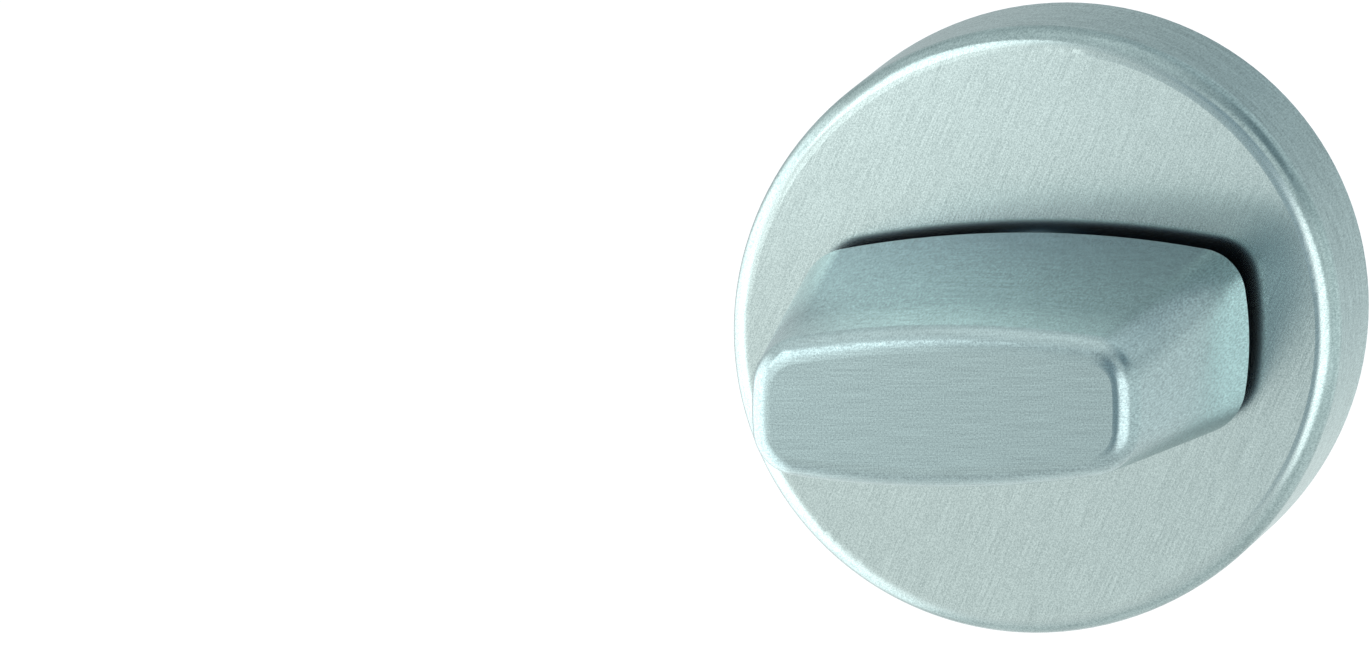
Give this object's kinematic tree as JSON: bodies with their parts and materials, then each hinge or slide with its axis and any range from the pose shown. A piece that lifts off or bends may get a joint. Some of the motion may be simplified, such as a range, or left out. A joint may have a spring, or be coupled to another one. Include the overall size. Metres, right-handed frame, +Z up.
{
  "type": "bathroom thumbturn",
  "caption": "Bathroom door thumbturn: a drafted oblong grip that turns a square spindle, on a round clip-on rose with a moulded base, support lugs and hidden screws.",
  "frame": {"origin": "on the turn's axis, in the plane of the door face that the rose lies on", "axes": "+Z up the door, +X to the right across it, the grip points along -Y and the spindle runs into the door along +Y"},
  "size_m": [0.052, 0.081, 0.052],
  "materials": {
    "cover_steel": "satin, straight hairlines on the face and lines round the rim",
    "turn_steel": "satin, fine lines along the grip",
    "moulding": "fine spark-eroded grain",
    "bearing_plastic": "smooth natural acetal",
    "plated_steel": "bright zinc plate",
    "spring_steel": "dark phosphated"
  },
  "bodies": {
    "rose": {"rose_cover": "cover_steel", "under_rose": "moulding", "neck_bush": "bearing_plastic", "spring_washer": "spring_steel", "thrust_washer": "plated_steel", "fixing_screw_left": "plated_steel", "fixing_screw_right": "plated_steel"},
    "turn": {"thumbturn": "turn_steel", "spindle": "plated_steel", "spindle_pin": "spring_steel", "retaining_ring": "spring_steel"}
  },
  "joints": [
    {"name": "turn_rotation", "type": "hinge", "parent": "rose", "child": "turn", "pos_m": [0, 0, 0], "axis": [0, -1, 0], "range_deg": [-90, 90]}
  ]
}
